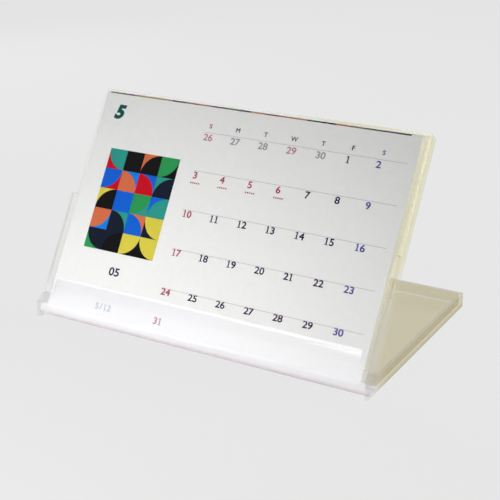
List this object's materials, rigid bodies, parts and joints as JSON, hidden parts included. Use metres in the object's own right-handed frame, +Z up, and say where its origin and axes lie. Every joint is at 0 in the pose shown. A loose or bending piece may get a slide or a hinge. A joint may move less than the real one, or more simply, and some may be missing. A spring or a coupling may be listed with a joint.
{
  "type": "desk calendar",
  "caption": "Card calendar in a folding case of clear moulded plastic: a leaning holder with a stack of month cards, hinged at its foot to a flat base tray.",
  "frame": {"origin": "on the desk, under the middle of the case's box", "axes": "+X to the reader's right along the hinge, +Y to the back, +Z up"},
  "size_m": [0.158, 0.1022, 0.0904],
  "materials": {
    "tray_plastic": "clear, glossy",
    "holder_plastic": "clear, glossy",
    "front_card": "white uncoated card, printed",
    "card_stock": "white uncoated card"
  },
  "bodies": {
    "base": {"base_tray": "tray_plastic"},
    "holder": {"card_holder": "holder_plastic", "month_card_06": "card_stock", "month_card_07": "card_stock", "month_card_08": "card_stock", "month_card_09": "card_stock", "month_card_10": "card_stock", "month_card_11": "card_stock", "month_card_12": "card_stock", "month_card_01": "card_stock", "month_card_02": "card_stock", "month_card_03": "card_stock", "month_card_04": "card_stock", "cover_card": "card_stock"},
    "front_card": {"month_card_05": "front_card"}
  },
  "joints": [
    {"name": "holder_tilt", "type": "hinge", "parent": "base", "child": "holder", "pos_m": [0, -0.0458, 0.00444], "axis": [1, 0, 0], "range_deg": [0, 121]},
    {"name": "front_card_pull", "type": "slide", "parent": "holder", "child": "front_card", "axis": [0, 0.5162, 0.8564], "range_m": [0, 0.1]}
  ]
}
